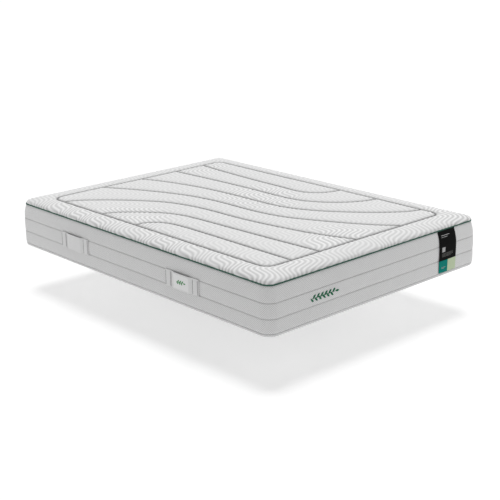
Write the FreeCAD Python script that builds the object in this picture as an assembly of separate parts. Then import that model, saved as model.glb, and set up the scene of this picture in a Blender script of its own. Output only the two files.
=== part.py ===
"""Double memory foam mattress, 1400 x 1900 mm, built as its cover, foam layers, seams and handles.

Millimetres, +Z up, origin at the centre of the underside. X runs across the width and Y along the
length, with the foot end at -Y. Each sub-part is written to parts/NODE.step.
"""

import FreeCAD, Part

import math
import os

from FreeCAD import Vector

# ---- Driving dimensions ----------------------------------------------------------------------
WIDTH = 1400.0  # across the widest part of the border
LENGTH = 1900.0
CORNER_R = 58.0  # plan radius of the corners at the widest outline
PIPING_Z = 226.0  # height of the piping's centre
TOP_Z = 260.0  # height of the quilted top
SEAM_GAP = 0.2  # left between pieces that are sewn face to face
FOAM_GAP = 0.5  # left between the cover and the foam inside it

# Underside
BASE_T = 3.0  # base fabric
BASE_EDGE_R = 18.0  # rounding of the bottom edge, and height of the base fabric's upstand
BASE_WADDING_T = 5.0

# Border band round the sides
BORDER_FABRIC_T = 3.0
BORDER_WADDING_T = 7.0
LOWER_STITCH_Z = 83.0
UPPER_STITCH_Z = 152.0  # above this line the border leans in
BORDER_LEAN = 16.0  # how far it has leaned in at the piping

# Foam core, from the piping down: the support core fills what is left above the base
MEMORY_FOAM_H = 27.0
COMFORT_FOAM_H = 30.0

# Quilted top panel
TOP_FABRIC_T = 4.0
SHOULDER_RISE = 16.0  # steep first rise from the piping seam
SHOULDER_RUN = 8.0
DOME_RUN = 50.0  # gentle rise from the shoulder to the flat of the top
DOME_CORNER_R = 12.0  # plan radius of the corners of that flat
BACKING_T = 1.2
QUILT_FOAM_H = 20.0

# Piping in the seam between the top panel and the border
PIPING_R = 3.0
PIPING_OUT = 0.5  # how far its centre stands outside the border's upper edge
FLANGE_T = 1.2
FLANGE_W = 14.0

# Stitching
THREAD_R = 0.9
THREAD_DEPTH = 1.0  # from the fabric's surface to a thread's middle
STITCH_GROOVE_R = 2.0
THREAD_END_GAP = 3.0  # left between a wave's end and the frame line

# Quilting on the top panel: a rounded rectangle, and waves that run between its sides
FRAME_SIDE_INSET = 125.0  # from the long sides
FRAME_END_INSET = 140.0  # from the head and foot ends
FRAME_R = 50.0
PATTERN_W = 1150.0  # size that the waves' points are drawn at, before they stretch to the frame
PATTERN_L = 1620.0
LEFT, RIGHT = -PATTERN_W / 2, PATTERN_W / 2
FOOT, HEAD = -PATTERN_L / 2, PATTERN_L / 2
WAVES = [
    [(LEFT, 102), (-520, 95), (-466, 48), (-443, -12), (-434, -110), (-432, -450), (-430, FOOT)],
    [(LEFT, 380), (-500, 342), (-418, 262), (-342, 160), (-307, 50), (-298, -100), (-290, -300),
     (-275, -550), (-258, FOOT)],
    [(LEFT, 710), (-500, 668), (-398, 572), (-298, 455), (-212, 320), (-173, 180), (-156, 30),
     (-155, -150), (-135, -350), (-97, -570), (-62, -700), (-18, FOOT)],
    [(-262, HEAD), (-232, 750), (-168, 638), (-98, 480), (-44, 310), (-20, 140), (-18, -50),
     (-10, -200), (18, -335), (75, -465), (150, -620), (218, -730), (290, FOOT)],
    [(-5, HEAD), (32, 728), (76, 570), (106, 400), (122, 200), (125, 0), (129, -130), (153, -245),
     (218, -382), (308, -503), (400, -602), (498, -677), (RIGHT, -700)],
    [(245, HEAD), (250, 700), (262, 500), (271, 200), (267, -50), (288, -180), (348, -282),
     (420, -352), (500, -396), (RIGHT, -410)],
    [(445, HEAD), (431, 650), (418, 400), (410, 100), (403, 5), (418, -72), (460, -122),
     (518, -150), (RIGHT, -155)],
]

# Handles: a strap with both ends sewn down under tabs, and a slack grip between them
HANDLE_FROM_HEAD = 514.0  # from the head end to the middle of the first handle on each side
HANDLE_FROM_FOOT = 551.0
HANDLE_L = 228.0
HANDLE_H = 76.0
TAB_L = 42.0
TAB_T = 2.4
STRAP_T = 3.0
GRIP_L = 118.0
GRIP_END_GAP = 0.5
HAND_GAP = 6.5  # between the border and the grip
BADGE_L = 104.0
BADGE_H = 62.0
BADGE_T = 0.6
TACK_W = 2.4
TACK_T = 1.0
TACK_EDGE = 4.0  # from a tab's edges to its tacks

# Label hanging from the piping seam on the foot end
LABEL_INSET = 178.0  # from the right side to its near edge
LABEL_W = 124.0
LABEL_T = 1.2
LABEL_STAND_OFF = 2.4  # from the border to its back
LABEL_TOP_GAP = 1.6  # below the piping
LABEL_SPLIT_DROP = 1.0  # from the lower stitched line to where its two coloured tabs start
LABEL_BOTTOM_Z = 23.0

# Embroidered sprig of leaves on the foot end: a level stem with leaves above and below in turn
SPRIG_INSET = 238.0  # from the left side to the stem's start
SPRIG_L = 177.0
STEM_W = 2.0
LEAF_PAIRS = 6
LEAF_L = 21.0
LEAF_W = 8.5
LEAF_RISE = 42.0  # degrees from the stem
LEAF_GAP = 0.3  # from the stem to a leaf's foot
SPRIG_T = 1.0

# Construction
BEND_SHARE = 0.45  # of the shorter run, taken up by a thread's bend at each end of a run
SAME = 0.01  # lengths closer than this are the same

# ---- Sizes that follow -----------------------------------------------------------------------
HALF_W = WIDTH / 2
HALF_L = LENGTH / 2
BORDER_T = BORDER_FABRIC_T + BORDER_WADDING_T
BORDER_TOP_Z = PIPING_Z - FLANGE_T / 2 - SEAM_GAP
TOP_PANEL_Z = PIPING_Z + FLANGE_T / 2 + SEAM_GAP
CORE_Z = BASE_T + BASE_WADDING_T
CORE_INSET = BORDER_T + FOAM_GAP
CORE_TOP_Z = BORDER_TOP_Z - SEAM_GAP
MIDDLE_BAND_Z = (LOWER_STITCH_Z + UPPER_STITCH_Z) / 2
FRAME_HALF_X = HALF_W - FRAME_SIDE_INSET
FRAME_HALF_Y = HALF_L - FRAME_END_INSET
HANDLE_LOW_Z = MIDDLE_BAND_Z - HANDLE_H / 2
HANDLE_HIGH_Z = MIDDLE_BAND_Z + HANDLE_H / 2
LABEL_TOP_Z = PIPING_Z - PIPING_R - LABEL_TOP_GAP
LABEL_SPLIT_Z = LOWER_STITCH_Z - LABEL_SPLIT_DROP
LABEL_RIGHT = HALF_W - LABEL_INSET
LABEL_LEFT = LABEL_RIGHT - LABEL_W
LABEL_MIDDLE = (LABEL_LEFT + LABEL_RIGHT) / 2


# ---- Shapes that several pieces use ----------------------------------------------------------
def turned(angle, length):
    """A flat vector of the given length at an angle in degrees from +X."""
    return Vector(math.cos(math.radians(angle)), math.sin(math.radians(angle)), 0) * length


def rounded_rectangle(half_x, half_y, radius, z):
    """A closed wire of straight sides and corner arcs, starting at the middle of the foot side."""
    start = Vector(0, -half_y, z)
    edges = []
    last = start
    for quarter, (side_x, side_y) in enumerate([(1, -1), (1, 1), (-1, 1), (-1, -1)]):
        centre = Vector(side_x * (half_x - radius), side_y * (half_y - radius), z)
        first_angle = -90 + 90 * quarter
        points = [centre + turned(first_angle + step, radius) for step in (0, 45, 90)]
        edges.append(Part.makeLine(last, points[0]))
        edges.append(Part.Arc(*points).toShape())
        last = points[2]
    edges.append(Part.makeLine(last, start))
    return Part.Wire(edges)


def outline(inset, z, radius=None):
    """The mattress outline at height z, drawn in by inset."""
    if radius is None:
        radius = CORNER_R - inset
    return rounded_rectangle(HALF_W - inset, HALF_L - inset, radius, z)


def prism(inset, z_low, z_high):
    """The outline drawn in by inset, as an upright block."""
    return Part.Face(outline(inset, z_low)).extrude(Vector(0, 0, z_high - z_low))


def lean(z):
    """How far the border has leaned in at height z."""
    return BORDER_LEAN * max(0.0, (z - UPPER_STITCH_Z) / (BORDER_TOP_Z - UPPER_STITCH_Z))


def leaning_block(inset, z_low, z_high):
    """A block whose sides lean in as the upper part of the border does."""
    wires = [outline(inset + lean(z), z) for z in (z_low, z_high)]
    return Part.makeLoft(wires, True, True)


def side_block(inset, z_low, z_high):
    """A block between two heights whose sides are upright and then lean in as the border does."""
    if z_low >= UPPER_STITCH_Z:
        return leaning_block(inset, z_low, z_high)
    if z_high <= UPPER_STITCH_Z:
        return prism(inset, z_low, z_high)
    return prism(inset, z_low, UPPER_STITCH_Z).fuse(leaning_block(inset, UPPER_STITCH_Z, z_high))


def box(x_range, y_range, z_range):
    """A box between two values on each axis, given in any order."""
    low = Vector(min(x_range), min(y_range), min(z_range))
    high = Vector(max(x_range), max(y_range), max(z_range))
    return Part.makeBox(high.x - low.x, high.y - low.y, high.z - low.z, low)


def tube(path, radius):
    """A round rod along a flat wire that starts with a straight run."""
    first = path.Edges[0]
    start = first.valueAt(first.FirstParameter)
    section = Part.Wire(Part.makeCircle(radius, start, first.tangentAt(first.FirstParameter)))
    return path.makePipeShell([section], True, True)


def smooth_path(corners, z):
    """Straight runs joined by tangent arcs, each about as large as its shorter run allows."""
    points = [Vector(x, y, z) for x, y in corners]
    edges = []
    last = points[0]
    for before, corner, after in zip(points, points[1:], points[2:]):
        back = (before - corner).normalize()
        onward = (after - corner).normalize()
        reach = BEND_SHARE * min(before.distanceToPoint(corner), after.distanceToPoint(corner))
        half_turn = (math.pi - back.getAngle(onward)) / 2
        radius = reach / math.tan(half_turn)
        inward = (back + onward).normalize()
        middle = corner + inward * (radius / math.cos(half_turn) - radius)
        end = corner + onward * reach
        edges.append(Part.makeLine(last, corner + back * reach))
        edges.append(Part.Arc(corner + back * reach, middle, end).toShape())
        last = end
    edges.append(Part.makeLine(last, points[-1]))
    return Part.Wire(edges)


# ---- Underside and border --------------------------------------------------------------------
def rounded_below(block, radius):
    """The block with its bottom edges rounded."""
    low = block.BoundBox.ZMin
    edges = [edge for edge in block.Edges if edge.BoundBox.ZMax < low + SAME]
    return block.makeFillet(radius, edges)


def base_fabric():
    """Base fabric: the underside and its rounded upstand, a shallow tray."""
    above = BASE_EDGE_R + 1
    outer = rounded_below(prism(0, 0, above), BASE_EDGE_R)
    inner = rounded_below(prism(BASE_T, BASE_T, above), BASE_EDGE_R - BASE_T)
    rim = prism(-1, BASE_EDGE_R - SEAM_GAP, above + 1)
    return outer.cut(inner).cut(rim).cut(tube(stitch_path(BASE_EDGE_R), STITCH_GROOVE_R))


def base_wadding():
    """Pad between the base fabric and the core."""
    return prism(BASE_EDGE_R, BASE_T, CORE_Z)


def border_ring(inset, thickness):
    """A band round the sides, between the base fabric's upstand and the piping seam."""
    outer = side_block(inset, BASE_EDGE_R, BORDER_TOP_Z)
    inner = side_block(inset + thickness, BASE_EDGE_R, BORDER_TOP_Z)
    return outer.cut(inner).cut(tube(piping_path(), PIPING_R + SEAM_GAP))


def stitch_path(z, depth=0.0):
    """A stitched line round the border, depth inside its surface."""
    return outline(depth + lean(z), z)


def border_fabric():
    """Outer knit of the border, with a groove along each stitched line."""
    ring = border_ring(0, BORDER_FABRIC_T)
    for z in (BASE_EDGE_R, LOWER_STITCH_Z, UPPER_STITCH_Z):
        ring = ring.cut(tube(stitch_path(z), STITCH_GROOVE_R))
    return ring


def border_thread(z):
    """Thread sunk into one of the border's grooves."""
    return tube(stitch_path(z, THREAD_DEPTH), THREAD_R)


def embroidered_leaves():
    """A sprig in raised satin stitch on the foot end's middle band: stem, leaf pairs and tip leaf."""
    stem_l = SPRIG_L - LEAF_L - LEAF_GAP
    start = Vector(-HALF_W + SPRIG_INSET, -HALF_L - SEAM_GAP, MIDDLE_BAND_Z)
    stem = Part.makeBox(stem_l, SPRIG_T, STEM_W, start - Vector(0, SPRIG_T, STEM_W / 2))
    pieces = [stem, leaf(start + Vector(stem_l, 0, 0), 0)]
    spacing = stem_l / (2 * LEAF_PAIRS + 1)
    for number in range(2 * LEAF_PAIRS):
        side = 1 if number % 2 else -1
        foot = start + Vector((number + 0.5) * spacing, 0, side * STEM_W / 2)
        pieces.append(leaf(foot, side * LEAF_RISE))
    return Part.makeCompound(pieces)


def leaf(foot, rise):
    """One pointed leaf, flat against the foot end, a small gap from its foot on the stem."""
    tip = Vector(LEAF_L / 2, 0, 0)
    sides = [Part.Arc(tip, Vector(0, 0, side * LEAF_W / 2), -tip).toShape() for side in (1, -1)]
    flat = Part.Face(Part.Wire(sides))
    flat.translate(tip + Vector(LEAF_GAP, 0, 0))
    flat.rotate(Vector(0, 0, 0), Vector(0, 1, 0), -rise)
    flat.translate(foot)
    return flat.extrude(Vector(0, -SPRIG_T, 0))


# ---- Piping and top panel --------------------------------------------------------------------
def piping_path():
    """Centre line of the piping."""
    return outline(BORDER_LEAN - PIPING_OUT, PIPING_Z)


def piping_cord():
    """Round cord of the piping, which shows all round the top seam."""
    return tube(piping_path(), PIPING_R)


def piping_flange():
    """Flat tape of the piping, caught between the top panel and the border."""
    outer_inset = BORDER_LEAN - PIPING_OUT + PIPING_R + SEAM_GAP
    z_low = PIPING_Z - FLANGE_T / 2
    outer = prism(outer_inset, z_low, z_low + FLANGE_T)
    return outer.cut(prism(outer_inset + FLANGE_W, z_low, z_low + FLANGE_T))


def top_block(depth):
    """What lies more than depth inside the top panel's outer surface."""
    foot_inset = BORDER_LEAN + depth
    shoulder_inset = foot_inset + SHOULDER_RUN
    flat_inset = shoulder_inset + DOME_RUN
    shoulder_z = TOP_PANEL_Z + SHOULDER_RISE - depth
    wires = [
        outline(foot_inset, TOP_PANEL_Z),
        outline(shoulder_inset, shoulder_z),
        outline(flat_inset, TOP_Z - depth, DOME_CORNER_R),
    ]
    return Part.makeLoft(wires, True, True)


def frame_path(z):
    """The quilting frame's line, a rounded rectangle."""
    return rounded_rectangle(FRAME_HALF_X, FRAME_HALF_Y, FRAME_R, z)


def wave_path(wave, z):
    """One wave's line, stretched to the quilting frame and ending just short of it."""
    stretch_x = 2 * FRAME_HALF_X / PATTERN_W
    stretch_y = 2 * FRAME_HALF_Y / PATTERN_L
    points = [(x * stretch_x, y * stretch_y) for x, y in wave]
    first = short_of_frame(points[0], points[1])
    last = short_of_frame(points[-1], points[-2])
    return smooth_path([first, *points[1:-1], last], z)


def short_of_frame(end, neighbour):
    """A wave's end on the frame line, drawn back towards its neighbour by the end gap."""
    run = Vector(*neighbour, 0) - Vector(*end, 0)
    on_long_side = abs(abs(end[0]) - FRAME_HALF_X) < SAME
    away_from_frame = abs(run.x) if on_long_side else abs(run.y)
    moved = Vector(*end, 0) + run * ((THREAD_END_GAP + STITCH_GROOVE_R) / away_from_frame)
    return moved.x, moved.y


def top_fabric():
    """Face knit of the top panel, a cap with grooves along the quilting lines."""
    cap = top_block(0).cut(top_block(TOP_FABRIC_T))
    cap = cap.cut(tube(piping_path(), PIPING_R + SEAM_GAP))
    cap = cap.cut(tube(frame_path(TOP_Z), STITCH_GROOVE_R))
    for wave in WAVES:
        cap = cap.cut(tube(wave_path(wave, TOP_Z), STITCH_GROOVE_R))
    return cap


def top_filling(z_low, z_high):
    """One layer of what the top panel is stuffed with."""
    return top_block(TOP_FABRIC_T).common(prism(0, z_low, z_high))


# ---- Handles ---------------------------------------------------------------------------------
def side_box(side, y_range, z_range, out_range):
    """A box on a long side: out_range is how far its two faces stand off the border."""
    return box([side * (HALF_W + out) for out in out_range], y_range, z_range)


def both_ends(make):
    """One solid at each end of a handle, from make(+1) and make(-1)."""
    return Part.makeCompound([make(1), make(-1)])


def strap_ends(side, y_middle):
    """The strap's sewn-down ends, and the rise from each of them to the grip."""

    def make(end):
        near = [
            (HANDLE_L / 2, SEAM_GAP),
            (HANDLE_L / 2 - TAB_L, SEAM_GAP),
            (GRIP_L / 2 + GRIP_END_GAP, HAND_GAP),
        ]
        far = [(y, out + STRAP_T) for y, out in reversed(near)]
        points = [
            Vector(side * (HALF_W + out), y_middle + end * y, HANDLE_LOW_Z)
            for y, out in near + far
        ]
        section = Part.Face(Part.makePolygon(points + points[:1]))
        return section.extrude(Vector(0, 0, HANDLE_HIGH_Z - HANDLE_LOW_Z))

    return both_ends(make)


def tabs(side, y_middle):
    """The tabs sewn over the strap's two ends."""
    inner = 2 * SEAM_GAP + STRAP_T

    def make(end):
        y_range = [y_middle + end * y for y in (HANDLE_L / 2, HANDLE_L / 2 - TAB_L)]
        return side_box(side, y_range, (HANDLE_LOW_Z, HANDLE_HIGH_Z), (inner, inner + TAB_T))

    return both_ends(make)


def tacks(side, y_middle):
    """Two upright bar tacks on each tab, by its outer and inner edges."""
    inner = 3 * SEAM_GAP + STRAP_T + TAB_T
    z_range = (HANDLE_LOW_Z + TACK_EDGE, HANDLE_HIGH_Z - TACK_EDGE)

    def make(end):
        bars = []
        for y in (HANDLE_L / 2 - TACK_EDGE, HANDLE_L / 2 - TAB_L + TACK_EDGE):
            y_bar = y_middle + end * y
            y_range = (y_bar - TACK_W / 2, y_bar + TACK_W / 2)
            bars.append(side_box(side, y_range, z_range, (inner, inner + TACK_T)))
        return Part.makeCompound(bars)

    return both_ends(make)


def grip(side, y_middle):
    """The slack middle of the strap, which pulls away from the border."""
    y_range = (y_middle - GRIP_L / 2, y_middle + GRIP_L / 2)
    return side_box(side, y_range, (HANDLE_LOW_Z, HANDLE_HIGH_Z), (HAND_GAP, HAND_GAP + STRAP_T))


def badge(side, y_middle):
    """Woven badge sewn on a grip."""
    y_range = (y_middle - BADGE_L / 2, y_middle + BADGE_L / 2)
    z_range = (MIDDLE_BAND_Z - BADGE_H / 2, MIDDLE_BAND_Z + BADGE_H / 2)
    inner = HAND_GAP + STRAP_T
    return side_box(side, y_range, z_range, (inner, inner + BADGE_T))


# ---- Label -----------------------------------------------------------------------------------
def label_piece(x_low, x_high, z_low, z_high):
    """Part of the label, which leans out over the border and then hangs straight."""
    back = [
        (HALF_L - lean(LABEL_TOP_Z) + LABEL_STAND_OFF / 2, LABEL_TOP_Z),
        (HALF_L + LABEL_STAND_OFF, UPPER_STITCH_Z),
        (HALF_L + LABEL_STAND_OFF, LABEL_BOTTOM_Z),
    ]
    front = [(out + LABEL_T, z) for out, z in reversed(back)]
    points = [Vector(x_low, -out, z) for out, z in back + front]
    section = Part.Face(Part.makePolygon(points + points[:1]))
    whole = section.extrude(Vector(x_high - x_low, 0, 0))
    reach = HALF_L + LABEL_STAND_OFF + LABEL_T
    return whole.common(box((x_low, x_high), (-reach, 0), (z_low, z_high)))


# ---- Assembly --------------------------------------------------------------------------------
def foam_parts():
    """Core layers, bottom to top."""
    comfort_top_z = CORE_TOP_Z - MEMORY_FOAM_H
    support_top_z = comfort_top_z - COMFORT_FOAM_H
    return {
        "support_core": side_block(CORE_INSET, CORE_Z, support_top_z),
        "comfort_foam_layer": side_block(CORE_INSET, support_top_z, comfort_top_z),
        "memory_foam_layer": side_block(CORE_INSET, comfort_top_z, CORE_TOP_Z),
    }


def side_parts():
    """Underside, border and piping."""
    return {
        "base_fabric": base_fabric(),
        "base_wadding": base_wadding(),
        "base_seam_thread": border_thread(BASE_EDGE_R),
        "border_fabric": border_fabric(),
        "border_wadding": border_ring(BORDER_FABRIC_T, BORDER_WADDING_T),
        "border_thread_lower": border_thread(LOWER_STITCH_Z),
        "border_thread_upper": border_thread(UPPER_STITCH_Z),
        "embroidered_leaves": embroidered_leaves(),
        "piping_cord": piping_cord(),
        "piping_flange": piping_flange(),
    }


def top_parts():
    """Face fabric of the top panel, its filling, and the threads that quilt it."""
    foam_low_z = TOP_PANEL_Z + BACKING_T
    foam_high_z = foam_low_z + QUILT_FOAM_H
    thread_z = TOP_Z - THREAD_DEPTH
    parts = {
        "top_fabric": top_fabric(),
        "top_backing": top_filling(TOP_PANEL_Z, foam_low_z),
        "quilt_foam": top_filling(foam_low_z, foam_high_z),
        "quilt_wadding": top_filling(foam_high_z, TOP_Z),
        "quilt_frame_thread": tube(frame_path(thread_z), THREAD_R),
    }
    for number, wave in enumerate(WAVES, 1):
        parts[f"quilt_wave_thread_{number}"] = tube(wave_path(wave, thread_z), THREAD_R)
    return parts


def handle_parts():
    """Four handles, two on each long side: the two nearer the foot carry a badge."""
    parts = {}
    places = {"head": HALF_L - HANDLE_FROM_HEAD, "foot": HANDLE_FROM_FOOT - HALF_L}
    for side_name, side in (("left", -1), ("right", 1)):
        for end_name, y_middle in places.items():
            name = f"handle_{side_name}_{end_name}"
            parts[f"{name}_strap_ends"] = strap_ends(side, y_middle)
            parts[f"{name}_tabs"] = tabs(side, y_middle)
            parts[f"{name}_tacks"] = tacks(side, y_middle)
            parts[f"{name}_grip"] = grip(side, y_middle)
            if end_name == "foot":
                parts[f"{name}_badge"] = badge(side, y_middle)
    return parts


def label_parts():
    """The dark panel, and the two tabs sewn to its lower edge."""
    return {
        "label_dark_panel": label_piece(LABEL_LEFT, LABEL_RIGHT, LABEL_SPLIT_Z, LABEL_TOP_Z),
        "label_teal_tab": label_piece(LABEL_LEFT, LABEL_MIDDLE, LABEL_BOTTOM_Z, LABEL_SPLIT_Z),
        "label_pale_tab": label_piece(LABEL_MIDDLE, LABEL_RIGHT, LABEL_BOTTOM_Z, LABEL_SPLIT_Z),
    }


def main():
    os.makedirs("parts", exist_ok=True)
    parts = {**foam_parts(), **side_parts(), **top_parts(), **handle_parts(), **label_parts()}
    for name, shape in parts.items():
        if not shape.isValid() or shape.Volume <= 0:
            raise ValueError(f"{name} isn't a valid solid")
        shape.exportStep(f"parts/{name}.step")
    print(len(parts), "sub-parts")


main()
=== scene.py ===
"""Looks of a double memory foam mattress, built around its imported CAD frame.

Metres, +Z up, origin at the centre of the underside, foot end at -Y. The quilted top, the border,
the underside and the piping are dense meshes. Seams follow the frame's thread nodes.
"""

import math

import bpy
import numpy as np
from mathutils import Matrix, Vector
from mathutils.kdtree import KDTree


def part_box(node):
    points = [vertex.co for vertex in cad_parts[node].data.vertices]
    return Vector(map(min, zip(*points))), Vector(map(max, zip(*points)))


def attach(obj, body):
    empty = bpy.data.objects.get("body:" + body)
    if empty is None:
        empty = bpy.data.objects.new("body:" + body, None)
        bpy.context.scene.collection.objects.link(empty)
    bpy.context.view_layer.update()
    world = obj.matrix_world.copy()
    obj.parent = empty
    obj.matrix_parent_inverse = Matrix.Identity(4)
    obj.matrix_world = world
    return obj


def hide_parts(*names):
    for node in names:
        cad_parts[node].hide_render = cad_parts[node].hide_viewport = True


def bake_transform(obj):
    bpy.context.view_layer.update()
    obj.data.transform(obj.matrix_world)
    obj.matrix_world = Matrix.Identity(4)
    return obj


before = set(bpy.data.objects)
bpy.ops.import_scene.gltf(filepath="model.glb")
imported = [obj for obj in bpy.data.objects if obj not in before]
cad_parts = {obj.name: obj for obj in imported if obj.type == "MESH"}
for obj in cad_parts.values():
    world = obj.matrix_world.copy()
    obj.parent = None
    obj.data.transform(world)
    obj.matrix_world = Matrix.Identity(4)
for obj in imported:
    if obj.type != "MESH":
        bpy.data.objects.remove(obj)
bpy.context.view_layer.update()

MM = 0.001
ROOT = "mattress"
STEP = 2.5 * MM  # spacing of the dense meshes' points

# ---- Places read from the frame --------------------------------------------------------------
BORDER_LOW, BORDER_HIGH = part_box("border_fabric")
HALF_W, HALF_L = BORDER_HIGH.x, BORDER_HIGH.y
BASE_SEAM_Z = BORDER_LOW.z
CORD_LOW, CORD_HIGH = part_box("piping_cord")
CORD_Z = (CORD_LOW.z + CORD_HIGH.z) / 2
CORD_R = (CORD_HIGH.z - CORD_LOW.z) / 2
CORD_INSET = HALF_W - CORD_HIGH.x + CORD_R
TOP_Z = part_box("top_fabric")[1].z
CORNER_R = 58 * MM  # plan radius of the border's corners


def thread_z(node):
    """Height of a flat thread's middle."""
    low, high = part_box(node)
    return (low.z + high.z) / 2


LOWER_Z = thread_z("border_thread_lower")
UPPER_Z = thread_z("border_thread_upper")


# ---- Mesh helpers ----------------------------------------------------------------------------
def smoothstep(low, high, value):
    """0 below low, 1 above high, and a smooth rise between."""
    share = np.clip((value - low) / (high - low), 0, 1)
    return share * share * (3 - 2 * share)


def make_piece(name, points, faces, material, uv=None, attributes=None):
    """A shaded mesh object. uv is a point's place on the flat cloth, in metres."""
    mesh = bpy.data.meshes.new(name)
    mesh.from_pydata([tuple(p) for p in points], [], [tuple(f) for f in faces])
    mesh.validate()
    mesh.materials.append(material)
    mesh.polygons.foreach_set("use_smooth", [True] * len(mesh.polygons))
    if uv is not None:
        corners = np.zeros(len(mesh.loops), np.int32)
        mesh.loops.foreach_get("vertex_index", corners)
        layer = mesh.uv_layers.new(name="cloth")
        layer.data.foreach_set("uv", np.asarray(uv, np.float32)[corners].ravel())
    for key, values in (attributes or {}).items():
        layer = mesh.attributes.new(key, "FLOAT", "POINT")
        layer.data.foreach_set("value", np.asarray(values, np.float32))
    mesh.update()
    piece = bpy.data.objects.new(name, mesh)
    bpy.context.scene.collection.objects.link(piece)
    return piece


def point_normals(piece):
    """The piece's point normals as an array."""
    normals = np.zeros(len(piece.data.vertices) * 3, np.float32)
    piece.data.vertices.foreach_get("normal", normals)
    return normals.reshape(-1, 3).astype(float)


def move_points(piece, points):
    """Puts the piece's points somewhere else."""
    piece.data.vertices.foreach_set("co", np.asarray(points, np.float32).ravel())
    piece.data.update()


def ring_faces(low, high, count):
    """Faces between two rings of count points each, which start at points low and high."""
    return [
        (low + k, low + (k + 1) % count, high + (k + 1) % count, high + k)
        for k in range(count)
    ]


def tube_faces(first, sides, rings):
    """Faces of a closed tube of rings with that many sides, whose points start at point first."""
    faces = []
    for ring in range(rings - 1):
        faces += ring_faces(first + ring * sides, first + (ring + 1) * sides, sides)
    last = first + (rings - 1) * sides
    return [*faces, tuple(range(first, first + sides))[::-1], tuple(range(last, last + sides))]


def slab_faces(wide, tall):
    """Faces of a closed slab, from its front points in rows and then its back points."""
    size = wide * tall
    faces = []
    for row in range(tall - 1):
        for column in range(wide - 1):
            a = row * wide + column
            quad = (a, a + 1, a + wide + 1, a + wide)
            faces += [quad, tuple(size + q for q in quad[::-1])]
    rim = list(range(wide))
    rim += [row * wide + wide - 1 for row in range(1, tall)]
    rim += [(tall - 1) * wide + column for column in range(wide - 2, -1, -1)]
    rim += [row * wide for row in range(tall - 2, 0, -1)]
    faces += [(a, size + a, size + b, b) for a, b in zip(rim, rim[1:] + rim[:1])]
    return faces


def fix(piece, body, slot, *nodes):
    """The piece rides on a body and stands for CAD nodes. slot is not used."""
    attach(piece, body)
    if nodes:
        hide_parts(*nodes)
    return piece


# ---- Seam lines from the frame's threads -----------------------------------------------------
def thread_line(node, closed):
    """Points along a thread node's middle, in order, from its tube's cross-sections."""
    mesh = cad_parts[node].data
    points = np.array([v.co for v in mesh.vertices], float)
    points = np.unique(np.round(points, 6), axis=0)
    radius = thread_radius(node)
    middles = []
    left = np.ones(len(points), bool)
    while left.any():
        first = points[np.argmax(left)]
        near = left & (np.linalg.norm(points - first, axis=1) < 2.1 * radius)
        middles.append(points[near].mean(0))
        left &= ~near
    middles = np.array(middles)
    start = 0 if closed else int(np.argmin(middles[:, 1]))
    order = [start]
    rest = set(range(len(middles))) - {start}
    while rest:
        index = np.array(sorted(rest))
        nearest = index[np.argmin(np.linalg.norm(middles[index] - middles[order[-1]], axis=1))]
        order.append(int(nearest))
        rest.remove(int(nearest))
    line = middles[order]
    if closed:
        line = np.vstack([line, line[:1]])
    return line


def thread_radius(node):
    """Half a flat thread's height."""
    low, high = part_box(node)
    return (high.z - low.z) / 2


def run_lengths(line):
    """How far along a line each of its points is."""
    return np.concatenate([[0], np.cumsum(np.linalg.norm(np.diff(line, axis=0), axis=1))])


def resampled(line, step):
    """Evenly spaced points along a line, and how far along it each one is."""
    along = run_lengths(line)
    places = np.linspace(0, along[-1], max(2, int(along[-1] / step)))
    points = np.stack([np.interp(places, along, line[:, k]) for k in range(3)], 1)
    return points, places


# ---- Rounded-rectangle nets ------------------------------------------------------------------
def outline_ring(inset, along_x, along_y, turns):
    """Plan points round the outline at an inset, counter-clockwise from the foot's left end.

    along_x and along_y are the sides' points between the corner arcs, and turns the arcs' steps.
    """
    radius = CORNER_R - inset
    centre_x, centre_y = HALF_W - CORNER_R, HALF_L - CORNER_R
    points = []
    sides = [
        (along_x, lambda t: (t, -centre_y - radius), (1, -1), -90),
        (along_y, lambda t: (centre_x + radius, t), (1, 1), 0),
        (-along_x, lambda t: (t, centre_y + radius), (-1, 1), 90),
        (-along_y, lambda t: (-centre_x - radius, t), (-1, -1), 180),
    ]
    for steps, place, (sign_x, sign_y), angle in sides:
        points += [place(t) for t in steps]
        for turn in range(1, turns):
            a = math.radians(angle + 90 * turn / turns)
            points.append((
                sign_x * centre_x + radius * math.cos(a),
                sign_y * centre_y + radius * math.sin(a),
            ))
    return np.array(points)


def side_steps(step):
    """Points along the foot and the right side, between the corner arcs."""
    centre_x, centre_y = HALF_W - CORNER_R, HALF_L - CORNER_R
    along_x = np.linspace(-centre_x, centre_x, int(2 * centre_x / step) + 1)
    along_y = np.linspace(-centre_y, centre_y, int(2 * centre_y / step) + 1)
    return along_x, along_y


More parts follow.
